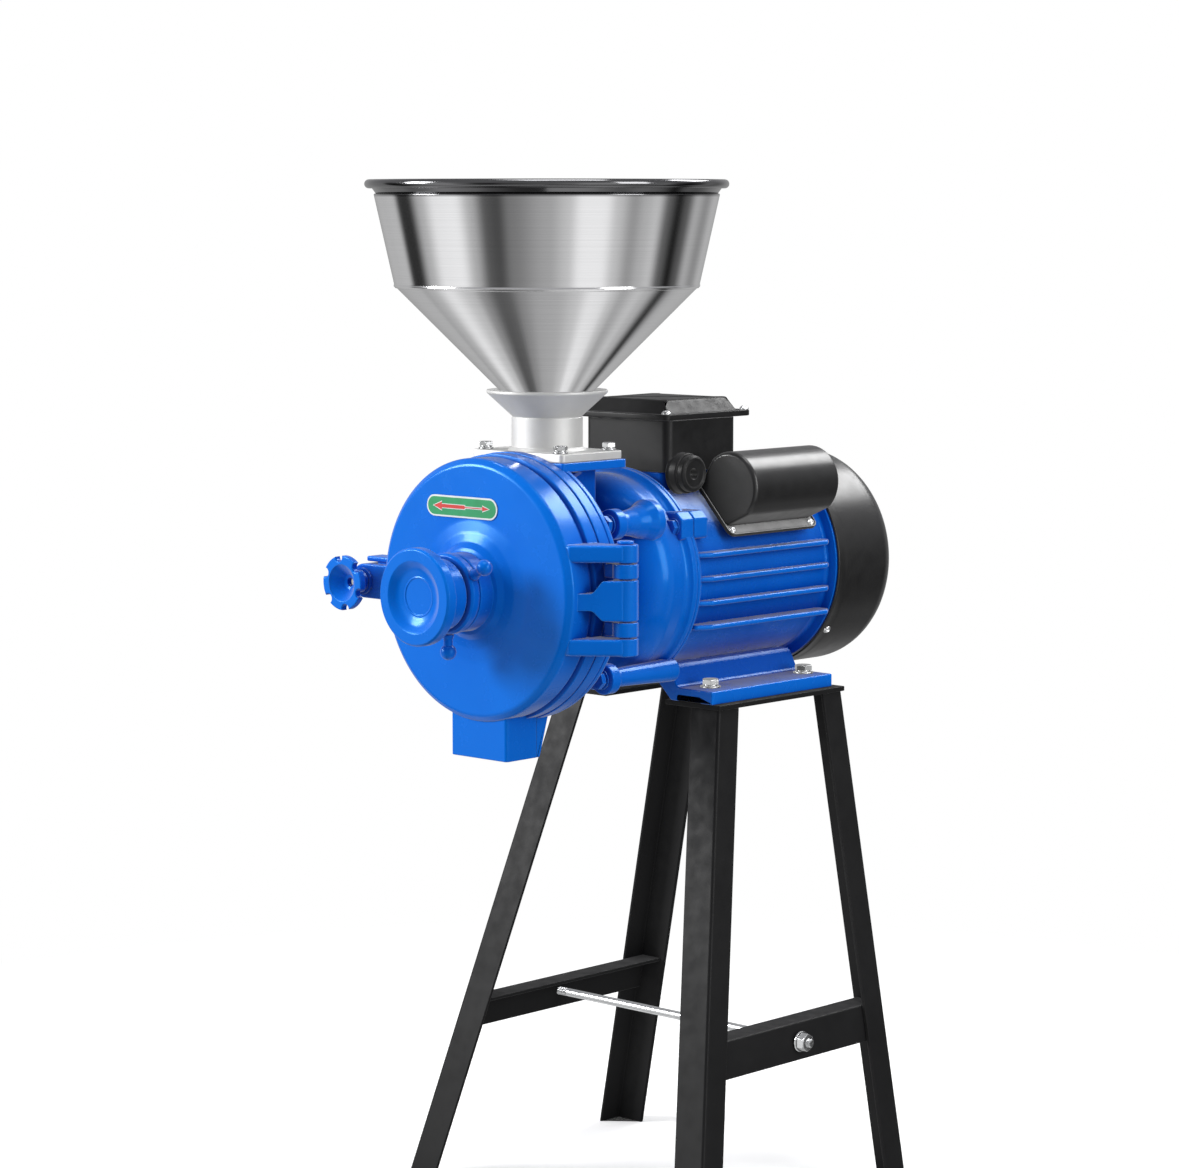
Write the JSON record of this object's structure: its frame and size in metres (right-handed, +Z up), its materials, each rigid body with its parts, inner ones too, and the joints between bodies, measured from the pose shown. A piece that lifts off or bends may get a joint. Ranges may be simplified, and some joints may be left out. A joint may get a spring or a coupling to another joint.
{
  "type": "grain disc mill",
  "caption": "Electric grain mill: steel hopper over a cast grinding head with a hinged door and handwheel, motor behind, on an angle-iron stand.",
  "frame": {"origin": "on the floor, in the middle of the mill's width and length, below the shaft", "axes": "+Z up, -Y the way the grinding door and handwheel face, +Y towards the motor's fan, +X towards the door's hinge"},
  "size_m": [0.3302, 0.489, 0.8411],
  "materials": {
    "blue_paint": "gloss blue enamel on cast iron",
    "black_paint": "satin black paint on steel",
    "black_plastic": "moulded, satin",
    "stainless": "polished stainless sheet",
    "aluminium": "fine cast, satin",
    "zinc": "bright zinc plate",
    "iron": "machined cast iron",
    "steel": "ground steel",
    "windings": "varnished copper windings on a steel core",
    "label": "printed film"
  },
  "bodies": {
    "base": {"top_strip_right": "black_paint", "leg_front_right": "black_paint", "leg_rear_right": "black_paint", "crossbar_right": "black_paint", "top_strip_left": "black_paint", "leg_front_left": "black_paint", "leg_rear_left": "black_paint", "crossbar_left": "black_paint", "fan_cover": "black_paint", "capacitor_cover": "black_paint", "tie_rod_nut_right": "zinc", "tie_rod_nut_left": "zinc", "tie_rod": "zinc", "flange_bolt_1": "zinc", "flange_bolt_2": "zinc", "flange_bolt_3": "zinc", "flange_bolt_4": "zinc", "foot_bolt_1": "zinc", "foot_bolt_2": "zinc", "foot_bolt_3": "zinc", "foot_bolt_4": "zinc", "ear_bolt_1": "blue_paint", "ear_bolt_2": "blue_paint", "ear_bolt_3": "blue_paint", "ear_bolt_4": "blue_paint", "casing": "blue_paint", "hinge_pin": "blue_paint", "end_bell_front": "blue_paint", "motor_frame": "blue_paint", "end_bell_rear": "blue_paint", "neck": "aluminium", "capacitor": "aluminium", "bearing_front": "steel", "bearing_rear": "steel", "stator": "windings", "shaft_seal": "black_plastic", "terminal_box": "black_plastic", "cable_gland": "black_plastic", "terminal_box_lid": "black_plastic"},
    "hopper": {"hopper": "stainless"},
    "door": {"door": "blue_paint", "label_plate": "label"},
    "disc_carrier": {"disc_carrier": "iron", "fixed_disc": "iron"},
    "handwheel": {"handwheel": "blue_paint", "adjusting_spindle": "steel"},
    "lock_ring": {"lock_ring": "blue_paint", "lock_lever_1": "blue_paint", "lock_lever_2": "blue_paint", "lock_lever_3": "blue_paint"},
    "latch_slide": {"lock_washer": "zinc"},
    "latch_knob": {"star_knob": "blue_paint", "lock_bolt": "zinc"},
    "shaft": {"motor_shaft": "steel", "rotor": "steel", "cooling_fan": "black_plastic", "feed_screw": "iron", "moving_disc": "iron", "disc_nut": "zinc"}
  },
  "joints": [
    {"name": "hopper_lift", "type": "slide", "parent": "base", "child": "hopper", "axis": [0, 0, 1], "range_m": [0, 0.12]},
    {"name": "door_swing", "type": "hinge", "parent": "base", "child": "door", "pos_m": [0.125, -0.1385, 0.52], "axis": [0, 0, 1], "range_deg": [0, 120]},
    {"name": "disc_feed", "type": "slide", "parent": "door", "child": "disc_carrier", "axis": [0, 1, 0], "range_m": [-0.0051, 0.0007]},
    {"name": "handwheel_turn", "type": "hinge", "parent": "disc_carrier", "child": "handwheel", "pos_m": [0, -0.2335, 0.52], "axis": [0, 1, 0], "range_deg": [-900, 108]},
    {"name": "lock_ring_turn", "type": "hinge", "parent": "door", "child": "lock_ring", "pos_m": [0, -0.2055, 0.52], "axis": [0, 1, 0], "range_deg": [-90, 0]},
    {"name": "latch_travel", "type": "slide", "parent": "door", "child": "latch_slide", "axis": [0, -1, 0], "range_m": [0, 0.0123]},
    {"name": "latch_knob_turn", "type": "hinge", "parent": "latch_slide", "child": "latch_knob", "pos_m": [-0.142, -0.1735, 0.516], "axis": [0, -1, 0], "range_deg": [0, 2520]},
    {"name": "shaft_spin", "type": "hinge", "parent": "base", "child": "shaft", "pos_m": [0, -0.1735, 0.52], "axis": [0, 1, 0], "continuous": true}
  ],
  "couplings": [
    {"joint": "disc_feed", "follows": "handwheel_turn", "m_per_rad": 0.00031831},
    {"joint": "latch_travel", "follows": "latch_knob_turn", "m_per_rad": 0.00027852}
  ]
}
